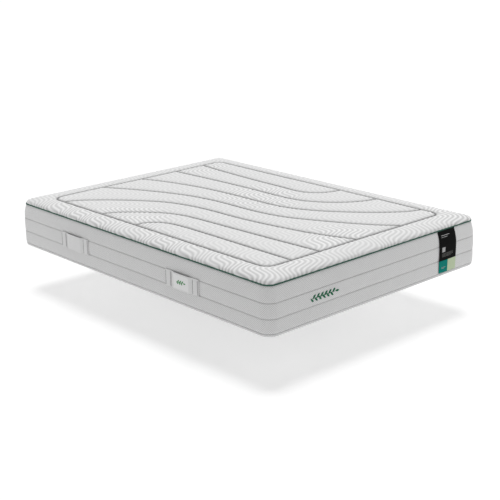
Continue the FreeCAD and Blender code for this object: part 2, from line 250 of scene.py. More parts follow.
def net(levels, step, turns):
    """A sheet over the whole outline: rings at the given (inset, z, cloth) levels, then a grid.

    The last level's inset is CORNER_R, where the outline has sharp corners and the grid starts.
    Gives points, faces, flat-cloth places, each point's inset, and the points in a ring.
    """
    along_x, along_y = side_steps(step)
    base = outline_ring(CORNER_R, along_x, along_y, turns)
    outer = outline_ring(0, along_x, along_y, turns)
    outward = (outer - base) / CORNER_R
    count = len(base)
    rings = [outline_ring(inset, along_x, along_y, turns) for inset, _, _ in levels[:-1]]
    points = [np.column_stack([ring, np.full(count, z)]) for ring, (_, z, _) in zip(rings, levels)]
    cloth = [base + outward * reach for _, _, reach in levels[:-1]]
    insets = [np.full(count, inset) for inset, _, _ in levels[:-1]]
    grid_x, grid_y = np.meshgrid(along_x, along_y)
    flat = np.column_stack([grid_x.ravel(), grid_y.ravel()])
    points.append(np.column_stack([flat, np.full(len(flat), levels[-1][1])]))
    cloth.append(flat)
    insets.append(smooth_inset(flat))
    faces = []
    for level in range(len(rings) - 1):
        faces += ring_faces(level * count, (level + 1) * count, count)
    first = len(rings) * count
    wide, tall = len(along_x), len(along_y)
    edge = grid_edge(wide, tall, turns)
    last = first - count
    for k in range(count):
        k_next = (k + 1) % count
        corners = [last + k, last + k_next, first + edge[k_next]]
        if edge[k] != edge[k_next]:
            corners.append(first + edge[k])
        faces.append(tuple(corners))
    row, column = np.meshgrid(np.arange(tall - 1), np.arange(wide - 1), indexing="ij")
    corner = (first + row * wide + column).ravel()
    faces += list(zip(corner, corner + 1, corner + wide + 1, corner + wide))
    return np.vstack(points), faces, np.vstack(cloth), np.concatenate(insets), count


def edge_levels(section):
    """A net's levels from an edge's (inset, height) section in millimetres, its grid's edge last."""
    levels = []
    reach = 0.0
    before = section[-1]
    for inset, z in reversed(section):
        reach += math.hypot(inset - before[0], z - before[1]) * MM
        levels.append((inset * MM, z * MM, reach))
        before = (inset, z)
    return levels[::-1]


def grid_edge(wide, tall, turns):
    """The grid's edge point that meets each ring point: an arc's points all meet one corner."""
    foot = list(range(wide))
    right = [k * wide + wide - 1 for k in range(tall)]
    head = [(tall - 1) * wide + wide - 1 - k for k in range(wide)]
    left = [(tall - 1 - k) * wide for k in range(tall)]
    edge = []
    for side in (foot, right, head, left):
        edge += side + [side[-1]] * (turns - 1)
    return edge


def smooth_inset(flat):
    """Distance from the nearer side, rounded off along the diagonals from the corners."""
    from_x = HALF_W - np.abs(flat[:, 0])
    from_y = HALF_L - np.abs(flat[:, 1])
    nearer = np.minimum(from_x, from_y)
    width = np.maximum(0.8 * (nearer - CORNER_R), 1e-6)
    near = np.maximum(width - np.abs(from_x - from_y), 0) / width
    return nearer - near * near * width / 4


def closed_below(faces, count):
    """A net's faces with one more that closes it across its first ring."""
    return [*faces, tuple(range(count))[::-1]]


# ---- Quilted top -----------------------------------------------------------------------------
SEAM_DROP = 9.0 * MM  # sharp dip at a seam
SEAM_REACH = 10 * MM
SEAM_SHADE = 7.5 * MM  # how far the painted shade by a seam reaches over the pulled-down cloth
PANEL_DROP = 4.0 * MM  # broad fall from a panel's crown to its seams
PANEL_REACH = 38 * MM
RIB_HEIGHT = 2.4 * MM
RIB_RATE = 28.9  # ribs per metre along X, and along Y
RIB_SWAY = 0.84  # how far the ribs swing each way, in ribs
RIB_FADE = 7 * MM  # the ribs fade out this near a seam
PUCKER_PITCH = 27 * MM
PUCKER_HEIGHT = 0.9 * MM
PUCKER_REACH = 16 * MM
CROWN_HEIGHT = 0.4 * MM  # how far the panels' crowns stand above the CAD top, before the ribs
CROWN_REACH = 30 * MM
WAVE_COUNT = len([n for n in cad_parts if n.startswith("quilt_wave_thread_")])
TOP_LEVELS = [  # the edge's section in millimetres, from under the piping to the corner inset
    (26, 226.6), (18.4, 226.4), (16.8, 227.6), (16.2, 229.6), (16.1, 231.8), (16.6, 234.0),
    (17.6, 236.2), (19.2, 238.4), (21.2, 240.4), (23.6, 242.1), (26.4, 243.6), (29.4, 244.9),
    (32.4, 246.1), (35.4, 247.2), (38.4, 248.2), (41.4, 249.1), (44.4, 249.9), (47.4, 250.7),
    (50.4, 251.5), (53.0, 252.1), (55.5, 252.7), (58, 253.2),
]


def dome(inset):
    """Height of the top's broad shape at an inset past the edge's section."""
    crown = TOP_Z + CROWN_HEIGHT
    rise = crown - TOP_LEVELS[-1][1] * MM
    return crown - rise * np.exp(-(inset - CORNER_R) / CROWN_REACH)


def rib_phase(cloth):
    """How many ribs lie between the cloth's origin and each point: they run in leaning waves."""
    x, y = cloth[:, 0], cloth[:, 1]
    bend = (x + 0.60) / 0.30 + (y + 0.87) / 0.215
    bend = bend + 0.16 * np.sin(2 * math.pi * (x / 0.71 - y / 0.93)) + 0.07 * np.sin(7 * x + 11 * y)
    sway = np.sin(2 * math.pi * bend) - 0.04 * np.sin(6 * math.pi * bend)
    return RIB_RATE * (y - x) - RIB_SWAY * sway


def rib_height(cloth):
    """Rounded ribs, 0 in a valley and 1 on a rib."""
    return 0.5 + 0.5 * np.cos(2 * math.pi * rib_phase(cloth))


def rib_strength(cloth, inset):
    """The ribs stand up most in the near edge strips, and in some patches of the panels."""
    x, y = cloth[:, 0], cloth[:, 1]
    patch = smoothstep(0.15, 0.8, np.sin(5.1 * x + 2.3 * y + 0.6) * np.sin(4.7 * y - 3.2 * x + 2.0))
    panels = 0.28 + 0.46 * patch
    strips = 0.52 + 0.36 * (0.5 + 0.5 * np.sin(8.3 * x - 6.1 * y + 0.5) * np.sin(5.3 * y + 4.1 * x))
    right_strip = smoothstep(0.40, 0.62, x) * smoothstep(-0.80, -0.55, y)
    head_strip = smoothstep(0.65, 0.90, y)
    foot_strip = 1 - smoothstep(-0.85, -0.75, y)
    foot_middle = foot_strip * smoothstep(-0.50, -0.25, x) * (1 - smoothstep(0.40, 0.58, x))
    strips = strips * (1 - 0.55 * np.maximum(right_strip, head_strip)) * (1 - 0.35 * foot_middle)
    return strips + (panels - strips) * smoothstep(0.11, 0.17, inset)


def seam_samples():
    """Points each millimetre along every quilting seam, with how far along its seam each is."""
    lines = [thread_line("quilt_frame_thread", True)]
    lines += [thread_line(f"quilt_wave_thread_{k + 1}", False) for k in range(WAVE_COUNT)]
    samples = [resampled(line, MM) for line in lines]
    return np.vstack([s[0] for s in samples]), np.concatenate([s[1] for s in samples])


def nearest_seam(flat, samples):
    """Distance from each plan point to the nearest seam sample, and that sample's number."""
    tree = KDTree(len(samples))
    for k, (x, y, _) in enumerate(samples):
        tree.insert((x, y, 0), k)
    tree.balance()
    found = [tree.find((x, y, 0)) for x, y in flat]
    return np.array([f[2] for f in found]), np.array([f[1] for f in found])


def quilted_top(material):
    """The top panel: a puffed sheet over its whole outline, sunk at the seams and ribbed."""
    turns = max(6, int(CORNER_R * math.pi / 2 / STEP))
    points, faces, cloth, inset, count = net(edge_levels(TOP_LEVELS), STEP, turns)
    ring_points = (len(TOP_LEVELS) - 1) * count
    samples, along = seam_samples()
    distance, number = nearest_seam(points[:, :2], samples)
    snap = distance < 0.55 * STEP
    snap[:ring_points] = False
    points[snap, :2] = samples[number[snap], :2]
    distance[snap] = 0
    points[ring_points:, 2] = dome(inset[ring_points:])
    points[:, 2] -= SEAM_DROP * np.exp(-(distance / SEAM_REACH))
    points[:, 2] -= PANEL_DROP * np.exp(-(distance / PANEL_REACH))
    pucker = np.sin(2 * math.pi * along[number] / PUCKER_PITCH + 3 * np.sin(9 * along[number]))
    near_seam = np.exp(-distance / PUCKER_REACH) * (1 - np.exp(-distance / (3 * MM)))
    points[:, 2] += PUCKER_HEIGHT * pucker * near_seam
    broad = np.sin(7.3 * points[:, 0] + 1.1) * np.sin(5.9 * points[:, 1] - 0.4)
    points[:, 2] += 0.8 * MM * broad * smoothstep(0.05, 0.15, inset)
    rib = rib_height(cloth)
    strength = rib_strength(cloth, inset) * (1 - np.exp(-((distance / RIB_FADE) ** 2)))
    attributes = {
        # rib: the ribs lighter than the valleys, partly the knit's own tone and partly painted shade in
        # the valleys
        "rib": 0.5 + (rib - 0.5) * strength,
        # seam: painted shade along the seams' grooves
        "seam": np.exp(-((distance / SEAM_SHADE) ** 2)),
    }
    piece = make_piece("quilted_top", points, closed_below(faces, count), material, cloth, attributes)
    shown = np.ones(len(points))
    shown[:2 * count] = 0  # the two rings under the piping stay smooth
    lift = RIB_HEIGHT * (rib - 0.5) * strength * shown
    normals = point_normals(piece)
    move_points(piece, points + normals * lift[:, None])
    fix(piece, ROOT, "top_knit", "top_fabric", "top_backing", "quilt_foam", "quilt_wadding")
    return piece


# ---- Border, underside and piping ------------------------------------------------------------
BORDER_SECTION = [  # (height, inset) in millimetres, the border's outer face without its puckers
    (17.8, 4.6), (19.4, 1.9), (24, 0.9), (34, 0.4), (50, 0.2), (66, 0.4), (77, 0.9), (80.9, 1.5),
    (83.0, 3.6), (85.1, 1.5), (89, 0.8), (102, 0.2), (117, 0.0), (132, 0.3), (145, 1.0),
    (149.9, 1.7), (152.0, 3.9), (154.1, 2.2), (160, 1.9), (170, 2.4), (182, 3.9), (194, 6.3),
    (204, 9.0), (212, 11.8), (218, 14.2), (222.4, 16.0), (224.6, 17.6),
]
BORDER_INNER = 14 * MM  # inset of the band's inner face
BORDER_PUCKER_PITCH = 31 * MM
BORDER_PUCKER_HEIGHT = 0.55 * MM
BORDER_PUCKER_REACH = 11 * MM
BORDER_SEAM_SHADE = 2.6 * MM  # how far the painted shade by a stitched line reaches
UNDERSIDE_STEP = 12 * MM
UNDERSIDE_LEVELS = [  # the underside's edge in millimetres, from the base seam down to the flat
    (9, 17.6), (4.2, 17.4), (2.6, 15.6), (2.6, 12.6), (3.6, 9.0), (6.0, 5.2),
    (9.6, 2.4), (14, 0.8), (20, 0.1), (30, 0), (44, 0), (58, 0),
]


def section_points(section, step):
    """Heights and insets in metres, evenly spaced along a section in millimetres."""
    height, inset = (np.array(values) * MM for values in zip(*section))
    runs = np.hypot(np.diff(height), np.diff(inset))
    along = np.concatenate([[0], np.cumsum(runs)])
    places = np.linspace(0, along[-1], int(along[-1] / step) + 1)
    return np.interp(places, along, height), np.interp(places, along, inset)


def ring_band(name, heights, insets, inner_inset, material, relief):
    """A closed band round the outline with the given section, and relief(around, height) on it."""
    step = STEP * 1.3
    turns = max(8, int(CORNER_R * math.pi / 2 / step))
    along_x, along_y = side_steps(step)
    join = len(along_x) + len(along_y) + 2 * (turns - 1)  # the band's ends meet at the head's right
    base = np.roll(outline_ring(CORNER_R, along_x, along_y, turns), -join, 0)
    outer = np.roll(outline_ring(0, along_x, along_y, turns), -join, 0)
    outward = (outer - base) / CORNER_R
    count = len(base)
    around = run_lengths(outer)
    points = []
    cloth = []
    for height, inset in zip(heights, insets):
        lift = relief(around, np.full(count, height))
        ring = base + outward * (CORNER_R - inset + lift)[:, None]
        points.append(np.column_stack([ring, np.full(count, height)]))
        cloth.append(np.column_stack([around, np.full(count, height)]))
    for height in (heights[-1], heights[0]):
        ring = base + outward * (CORNER_R - inner_inset)
        points.append(np.column_stack([ring, np.full(count, height)]))
        cloth.append(np.column_stack([around, np.full(count, height)]))
    levels = len(points)
    faces = []
    for level in range(levels):
        faces += ring_faces(level * count, (level + 1) % levels * count, count)
    points = np.vstack(points)
    # Painted shade along the stitched lines' grooves, weaker by the base seam.
    off_seam = np.abs(points[:, 2:3] - np.array([LOWER_Z, UPPER_Z, BASE_SEAM_Z]))
    shade = np.array([1.0, 1.0, 0.35]) * np.exp(-((off_seam / BORDER_SEAM_SHADE) ** 2))
    attributes = {"seam": shade.max(1)}
    return make_piece(name, points, faces, material, np.vstack(cloth), attributes)


def border_relief(around, height):
    """Shallow puckers by the stitched lines, and a slow sway along the border."""
    lift = 0.5 * MM * np.sin(9 * around + 20 * height) * np.sin(4.1 * around - 1.0)
    for line_z, phase in ((LOWER_Z, 0.0), (UPPER_Z, 1.7), (BASE_SEAM_Z, 0.6)):
        off_line = np.abs(height - line_z)
        near = np.exp(-off_line / BORDER_PUCKER_REACH) * (1 - np.exp(-off_line / (3 * MM)))
        turn = 2 * math.pi * around / BORDER_PUCKER_PITCH + phase + 2 * np.sin(7 * around)
        lift += BORDER_PUCKER_HEIGHT * near * np.sin(turn)
    return lift


def border(material):
    """The padded border band."""
    heights, insets = section_points(BORDER_SECTION, STEP)
    piece = ring_band("border_cover", heights, insets, BORDER_INNER, material, border_relief)
    fix(piece, ROOT, "border_knit", "border_fabric", "border_wadding")
    return piece


def underside(material):
    """Base cloth: flat where it rests, with a soft rounded edge up to the base seam."""
    points, faces, cloth, _, count = net(edge_levels(UNDERSIDE_LEVELS), UNDERSIDE_STEP, 12)
    flipped = [face[::-1] for face in closed_below(faces, count)]
    piece = make_piece("base_cloth", points, flipped, material, cloth)
    fix(piece, ROOT, "base_cloth", "base_fabric", "base_wadding")
    return piece


def twisted_tube(name, line, radius, material, sides=12, strands=3, lay=9 * MM, depth=0.10):
    """A closed round cord of twisted strands along a flat closed line."""
    tangent = np.roll(line, -1, 0) - np.roll(line, 1, 0)
    tangent /= np.linalg.norm(tangent, axis=1)[:, None]
    side = np.column_stack([tangent[:, 1], -tangent[:, 0], np.zeros(len(line))])
    runs = np.linalg.norm(np.roll(line, -1, 0) - line, axis=1)
    length = runs.sum()
    along = np.concatenate([[0], np.cumsum(runs)[:-1]])
    twists = round(length / lay)
    points = []
    for k in range(sides):
        angle = 2 * math.pi * k / sides
        strand = np.abs(np.sin(0.5 * (strands * angle + 2 * math.pi * twists * along / length)))
        reach = radius * (1 - depth + depth * strand)
        points.append(
            line + side * (reach * math.cos(angle))[:, None]
            + np.array([0, 0, 1]) * (reach * math.sin(angle))[:, None]
        )
    points = np.stack(points, 1).reshape(-1, 3)
    count = len(line)
    faces = []
    for k in range(count):
        faces += ring_faces(k * sides, (k + 1) % count * sides, sides)
    cloth = np.column_stack([np.repeat(along, sides), np.tile(np.arange(sides) / sides, count)])
    return make_piece(name, points, faces, material, cloth)


def piping(material):
    """The dark green cord round the top seam."""
    step = 3.2 * MM
    turns = max(8, int(CORNER_R * math.pi / 2 / step))
    ring = outline_ring(CORD_INSET, *side_steps(step), turns)
    line = np.column_stack([ring, np.full(len(ring), CORD_Z)])
    piece = twisted_tube("piping", line, 1.02 * CORD_R, material)
    return fix(piece, ROOT, "green_piping", "piping_cord")


# ---- Stitching -------------------------------------------------------------------------------
def stitches(name, line, pitch, length, radius, material, up):
    """One piece of separate stitches along a line: each dips into the cloth at both ends.

    up is the way out of the cloth, either one for the whole line or one for each of its points.
    """
    centres, places = resampled(line, pitch)
    up = np.broadcast_to(up, line.shape)
    out = np.stack([np.interp(places, run_lengths(line), up[:, k]) for k in range(3)], 1)
    out /= np.linalg.norm(out, axis=1)[:, None]
    tangent = np.gradient(centres, axis=0)
    tangent /= np.linalg.norm(tangent, axis=1)[:, None]
    across = np.cross(out, tangent)
    stations = [  # (share of the length, share of the radius, rise in radii)
        (-0.5, 0.35, -0.9), (-0.3, 0.9, -0.1), (0, 1.0, 0.15), (0.3, 0.9, -0.1), (0.5, 0.35, -0.9),
    ]
    sides = 6
    points = []
    for share, fat, rise in stations:
        for j in range(sides):
            angle = 2 * math.pi * j / sides
            offset = (
                tangent * (share * length)
                + across * (radius * fat * math.cos(angle))
                + out * (radius * (fat * math.sin(angle) + rise))
            )
            points.append(centres + offset)
    points = np.stack(points, 1).reshape(-1, 3)
    faces = []
    for k in range(len(centres)):
        faces += tube_faces(k * len(stations) * sides, sides, len(stations))
    return make_piece(name, points, faces, material)


def quilting_stitches(material):
    """Stitches along the quilting seams, at the bottom of their grooves."""
    names = ["quilt_frame_thread"] + [f"quilt_wave_thread_{k + 1}" for k in range(WAVE_COUNT)]
    for node in names:
        line = thread_line(node, node == "quilt_frame_thread")
        line, _ = resampled(line, 6 * MM)
        inset = smooth_inset(line[:, :2])
        line[:, 2] = dome(inset) - SEAM_DROP - PANEL_DROP + 0.3 * MM
        name = node.replace("thread", "stitches")
        piece = stitches(name, line, 5.2 * MM, 4.2 * MM, 0.75 * MM, material, (0.0, 0.0, 1.0))
        fix(piece, ROOT, "pale_thread", node)


def border_stitches(line_material, base_material):
    """Stitches along the border's two lines and its base seam."""
    steps = side_steps(6 * MM)
    base = outline_ring(CORNER_R, *steps, 16)
    outer = outline_ring(0, *steps, 16)
    for node, depth, pitch, material in (
        ("border_thread_lower", 4.1 * MM, 5.5 * MM, line_material),
        ("border_thread_upper", 4.3 * MM, 5.5 * MM, line_material),
        ("base_seam_thread", 3.5 * MM, 4.5 * MM, base_material),
    ):
        ring = outline_ring(depth, *steps, 16)
        line = np.column_stack([ring, np.full(len(ring), thread_z(node))])
        out = np.column_stack([outer - base, np.zeros(len(ring))])
        line = np.vstack([line, line[:1]])
        out = np.vstack([out, out[:1]])
        name = node.replace("thread", "stitches")
        piece = stitches(name, line, pitch, 0.8 * pitch, 0.7 * MM, material, out)
        fix(piece, ROOT, "pale_thread", node)


# ---- Handles ---------------------------------------------------------------------------------
SPRIG_MARK_L = 64 * MM
STRAP_SLACK = 0.9 * MM  # how far a strap bows out at its middle
STRAP_SHOWN = 13.5 * MM  # strap between the CAD grip's end and the tab's edge
RAMP_BEFORE, RAMP_UNDER = 26 * MM, 4 * MM  # where a strap comes down, measured from the tab's edge
TAB_PUFF = 2.2 * MM  # how fast a tab thickens from its edges
TACK_MARGIN = 4 * MM  # from a bar tack's ends to the strap's edges
TACK_HALF_L = 1.5 * MM


def ribbon(name, centre, out, width_z, z_middle, thickness, material, edge=0.8 * MM, rows=26):
    """A flat strap along plan points: a closed band with rounded edges, widthways along Z."""
    half = width_z / 2
    section = [(-half, 0.35)]
    section += [(t, 0.5) for t in np.linspace(-half + edge, half - edge, rows)]
    section += [(half, 0.35), (half, -0.35)]
    section += [(t, -0.5) for t in np.linspace(half - edge, -half + edge, rows)]
    section += [(-half, -0.35)]
    sides = len(section)
    points = []
    cloth = []
    for place, direction, run in zip(centre, out, run_lengths(centre)):
        for dz, share in section:
            points.append(place + direction * (share * thickness) + np.array([0, 0, z_middle + dz]))
            cloth.append((run, dz))
    faces = tube_faces(0, sides, len(centre))
    piece = make_piece(name, np.array(points), faces, material, np.array(cloth))
    for cap in piece.data.polygons[-2:]:
        cap.use_smooth = False
    return piece


def handle(side_name, end_name, materials):
    """One handle: two strap halves shaped round the grip, two tabs and their bar tacks."""
    name = f"handle_{side_name}_{end_name}"
    grip_body = f"{name}_grip"
    side = -1 if side_name == "left" else 1
    low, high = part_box(f"{name}_strap_ends")
    grip_low, grip_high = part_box(f"{name}_grip")
    tab_low, tab_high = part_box(f"{name}_tabs")
    middle = (low.y + high.y) / 2
    half = (high.y - low.y) / 2
    z_middle = (low.z + high.z) / 2
    height = high.z - low.z
    strap_t = grip_high.x - grip_low.x
    grip_x = min(abs(grip_low.x), abs(grip_high.x)) + strap_t / 2
    flat_x = min(abs(low.x), abs(high.x)) + strap_t / 2
    tab_l = half - (grip_high.y - grip_low.y) / 2 - STRAP_SHOWN
    badge = f"{name}_badge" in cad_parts
    if badge:
        badge_low, badge_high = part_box(f"{name}_badge")
        badge_half_l = (badge_high.y - badge_low.y) / 2
        badge_half_h = (badge_high.z - badge_low.z) / 2
        mark = sprig(f"{name}_mark", SPRIG_MARK_L, 0.22, 3, materials["badge_green"])
        turn = Matrix.Rotation(math.radians(90 * side), 4, "Z")
        stand = grip_x + strap_t / 2 + STRAP_SLACK
        mark.data.transform(Matrix.Translation((side * stand, middle, z_middle)) @ turn)
        fix(mark, grip_body, "green_embroidery")
    for end in (1, -1):
        reach = np.linspace(0, half, 70)
        tab_edge = half - tab_l
        rise = 1 - smoothstep(tab_edge - RAMP_BEFORE, tab_edge + RAMP_UNDER, reach)
        slack = STRAP_SLACK * np.cos(math.pi * reach / tab_edge)
        strap_x = side * (flat_x + (grip_x - flat_x) * rise + slack)
        centre = np.column_stack([strap_x, middle + end * reach, np.zeros(len(reach))])
        outward = np.tile([side, 0.0, 0.0], (len(reach), 1))
        piece_name = f"{name}_strap_{'a' if end > 0 else 'b'}"
        piece = ribbon(piece_name, centre, outward, height, z_middle, strap_t, materials["strap"])
        if end * side < 0:
            piece.data.flip_normals()
        if badge:
            piece.data.materials.append(materials["badge"])
            for face in piece.data.polygons:
                c = face.center
                on_badge = abs(c.y - middle) < badge_half_l and abs(c.z - z_middle) < badge_half_h
                if on_badge and abs(c.x) > grip_x:
                    face.material_index = 1
        nodes = [f"{name}_strap_ends", f"{name}_grip"] + ([f"{name}_badge"] if badge else [])
        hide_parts(*nodes)
        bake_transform(piece)
    tab_pieces(name, side, middle, half, tab_l, z_middle, height, tab_low, tab_high, materials)


def tab_pieces(name, side, middle, half, tab_l, z_middle, height, tab_low, tab_high, materials):
    """The two padded tabs over a strap's ends, and a bar tack by each upright edge."""
    inner = min(abs(tab_low.x), abs(tab_high.x))
    thick = tab_high.x - tab_low.x
    for end in (1, -1):
        letter = "a" if end > 0 else "b"
        count_y, count_z = 22, 36
        across = np.linspace(0, 1, count_y)
        up = np.linspace(0, 1, count_z)
        front = []
        back = []
        for v in up:
            for u in across:
                edge = min(u * tab_l, (1 - u) * tab_l, v * height, (1 - v) * height)
                puff = 1 - math.exp(-edge / TAB_PUFF)
                y = middle + end * (half - tab_l + u * tab_l)
                z = z_middle + (v - 0.5) * height
                front.append((side * (inner + thick * (0.25 + 0.75 * puff)), y, z))
                back.append((side * inner, y, z))
        points = np.array(front + back)
        faces = slab_faces(count_y, count_z)
        piece = make_piece(f"{name}_tab_{letter}", points, faces, materials["tab"], points[:, 1:])
        if end * side < 0:
            piece.data.flip_normals()
        fix(piece, ROOT, "tab_webbing", f"{name}_tabs")
        for number, share in enumerate((0.1, 0.9)):
            y = middle + end * (half - tab_l + share * tab_l)
            reach = height / 2 - TACK_MARGIN
            x = side * (inner + thick * 0.93)
            line = np.array([(x, y, z_middle - reach), (x, y, z_middle + reach)])
            tack = bar_tack(f"{name}_tack_{letter}{number + 1}", line, side, materials["stitch"])
            fix(tack, ROOT, "grey_stitching", f"{name}_tacks")


def bar_tack(name, line, side, material):
    """A dense bar of short stitches laid across a line."""
    count, sides = 34, 5
    stations = [(-1, 0.3), (-0.6, 1), (0.6, 1), (1, 0.3)]  # (share of the half length, fatness)
    points = []
    faces = []
    for k in range(count):
        centre = line[0] + (line[1] - line[0]) * (k + 0.5) / count
        slant = 0.5 * MM * (1 if k % 2 else -1)
        first = len(points)
        for share, fat in stations:
            for j in range(sides):
                angle = 2 * math.pi * j / sides
                points.append(centre + np.array([
                    side * (0.75 * MM * fat * math.cos(angle)),
                    share * TACK_HALF_L,
                    0.8 * MM * fat * math.sin(angle) + slant * share,
                ]))
        faces += tube_faces(first, sides, len(stations))
    return make_piece(name, np.array(points), faces, material)


# ---- Label -----------------------------------------------------------------------------------
LABEL_LOW, LABEL_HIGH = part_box("label_dark_panel")
LABEL_SPLIT_Z = LABEL_LOW.z
LABEL_BOTTOM_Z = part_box("label_teal_tab")[0].z
LABEL_MIDDLE = (LABEL_LOW.x + LABEL_HIGH.x) / 2
LABEL_CURL = 1.2 * MM  # how far its sides curl back
LABEL_THICK = 1.0 * MM
LABEL_SECTION = [  # (height, how far its front stands out past the border's widest) in millimetres
    (23, 3.0), (40, 3.4), (60, 3.8), (83, 4.2), (105, 4.8), (130, 5.2), (150, 5.0), (168, 3.6),
    (184, 0.6), (198, -3.2), (208, -6.6), (216, -9.6), (224, -12.4),
]


def label_front(x, z, lift=0.0):
    """A point on the label's front, lifted off it by lift."""
    heights, outs = (np.array(values) * MM for values in zip(*LABEL_SECTION))
    out = np.interp(z, heights, outs)
    curl = LABEL_CURL * ((x - LABEL_MIDDLE) / (LABEL_HIGH.x - LABEL_MIDDLE)) ** 2
    return np.array([x, -(HALF_L + out - curl + lift), z])


def label_patch(name, x_low, x_high, z_low, z_high, front, thickness, material, step=3 * MM):
    """A thin piece of cloth on the label's surface, its front lifted off the label's by front."""
    wide = max(2, int((x_high - x_low) / step) + 1)
    tall = max(2, int((z_high - z_low) / step) + 1)
    xs = np.linspace(x_low, x_high, wide)
    zs = np.linspace(z_low, z_high, tall)
    outer = [label_front(x, z, front) for z in zs for x in xs]
    inner = [label_front(x, z, front - thickness) for z in zs for x in xs]
    points = np.array(outer + inner)
    return make_piece(name, points, slab_faces(wide, tall), material, points[:, [0, 2]])


def label(materials):
    """The hanging label: a dark panel, two coloured tabs, and plain marks on them."""
    panel_top = CORD_Z - 0.7 * CORD_R
    panel = label_patch(
        "label_panel", LABEL_LOW.x, LABEL_HIGH.x, LABEL_SPLIT_Z - 2 * MM, panel_top,
        0.0, LABEL_THICK, materials["black"],
    )
    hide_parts("label_dark_panel")
    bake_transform(panel)
    for name, x_low, x_high, node, key, slot in (
        ("label_tab_teal", LABEL_LOW.x, LABEL_MIDDLE, "label_teal_tab", "teal", "label_teal"),
        ("label_tab_pale", LABEL_MIDDLE, LABEL_HIGH.x, "label_pale_tab", "pale", "label_pale_green"),
    ):
        tab = label_patch(
            name, x_low + 0.2 * MM, x_high - 0.2 * MM, LABEL_BOTTOM_Z, LABEL_SPLIT_Z,
            0.3 * MM, LABEL_THICK, materials[key],
        )
        fix(tab, "label_flap", slot, node)
    left = LABEL_LOW.x
    marks = [  # (name, from and to across the label, from and to up from the underside, material)
        ("label_bar_1", 18, 78, 201.5, 204.0, "mark"),
        ("label_bar_2", 18, 62, 193.5, 195.6, "mark"),
        ("label_block", 18, 40, 124, 147, "mark"),
        ("label_line_1", 18, 98, 115.5, 116.8, "mark_dim"),
        ("label_line_2", 18, 98, 110.5, 111.8, "mark_dim"),
        ("label_line_3", 18, 98, 105.5, 106.8, "mark_dim"),
        ("label_line_4", 18, 82, 100.5, 101.8, "mark_dim"),
        ("label_teal_bar_1", 18, 46, 47.5, 49.5, "mark"),
        ("label_teal_bar_2", 18, 38, 42.5, 44.5, "mark"),
    ]
    for name, x_low, x_high, z_low, z_high, key in marks:
        mark = label_patch(
            name, left + x_low * MM, left + x_high * MM, z_low * MM, z_high * MM,
            0.6 * MM, 0.5 * MM, materials[key], 4 * MM,
        )
        fix(mark, "label_flap", "badge_cloth")


# ---- Embroidery ------------------------------------------------------------------------------
SPRIG_STAND = 0.9 * MM  # from a sprig's plane back to the cloth that it is stitched on
LEAF_RISE = math.radians(42)


def stitched_leaf(length, width, rise, foot):
    """A leaf as a low cushion of satin stitch: points and faces, in the plane of X and Z."""
    rows, columns = 29, 9
    along = np.array([math.cos(rise), 0, math.sin(rise)])
    across = np.array([-math.sin(rise), 0, math.cos(rise)])
    front = []
    for row in range(rows):
        t = row / (rows - 1)
        half_width = width / 2 * math.sin(math.pi * t) ** 0.8 if 0 < t < 1 else 0
        for column in range(columns):
            s = -1 + 2 * column / (columns - 1)
            crown = math.sqrt(max(0.0, 1 - s * s)) * min(1.0, 5 * t, 5 * (1 - t))
            thread_ridge = 0.10 if (row + (s > 0)) % 2 else -0.10
            out = (0.25 + 0.06 * width / MM * crown * (1 + thread_ridge)) * MM
            place = foot + along * (t * length) + across * (s * (half_width + 0.05 * MM))
            front.append((place[0], -out, place[2]))
    back = [(x, SPRIG_STAND, z) for x, _, z in front]
    return front + back, slab_faces(columns, rows)


def sprig(name, length, leaf_share, pairs, material):
    """A stem with leaves above and below in turn, and one at its tip, centred on the origin."""
    leaf_l = leaf_share * length
    leaf_w = 0.42 * leaf_l
    stem_w = 0.10 * leaf_l
    stem_l = length - leaf_l
    start = np.array([-length / 2, 0, 0])
    parts = [stitched_leaf(stem_l * 1.04, 2 * stem_w, 0.0, start)]
    parts.append(stitched_leaf(leaf_l, leaf_w, 0.0, start + np.array([stem_l, 0, 0])))
    spacing = stem_l / (2 * pairs + 1)
    for number in range(2 * pairs):
        side = 1 if number % 2 else -1
        foot = start + np.array([(number + 0.5) * spacing, 0, side * stem_w / 2])
        parts.append(stitched_leaf(leaf_l, leaf_w, side * LEAF_RISE, foot))
    points, faces = [], []
    for part_points, part_faces in parts:
        faces += [tuple(len(points) + k for k in face) for face in part_faces]
        points += part_points
    return make_piece(name, np.array(points), faces, material)


def embroidery(material):
    """The sprig of leaves on the foot end."""
    low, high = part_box("embroidered_leaves")
    piece = sprig("foot_sprig", high.x - low.x, 0.119, 6, material)
    centre = Vector(((low.x + high.x) / 2, -HALF_L - SPRIG_STAND, (low.z + high.z) / 2))
    piece.data.transform(Matrix.Translation(centre))
    fix(piece, ROOT, "green_embroidery", "embroidered_leaves")


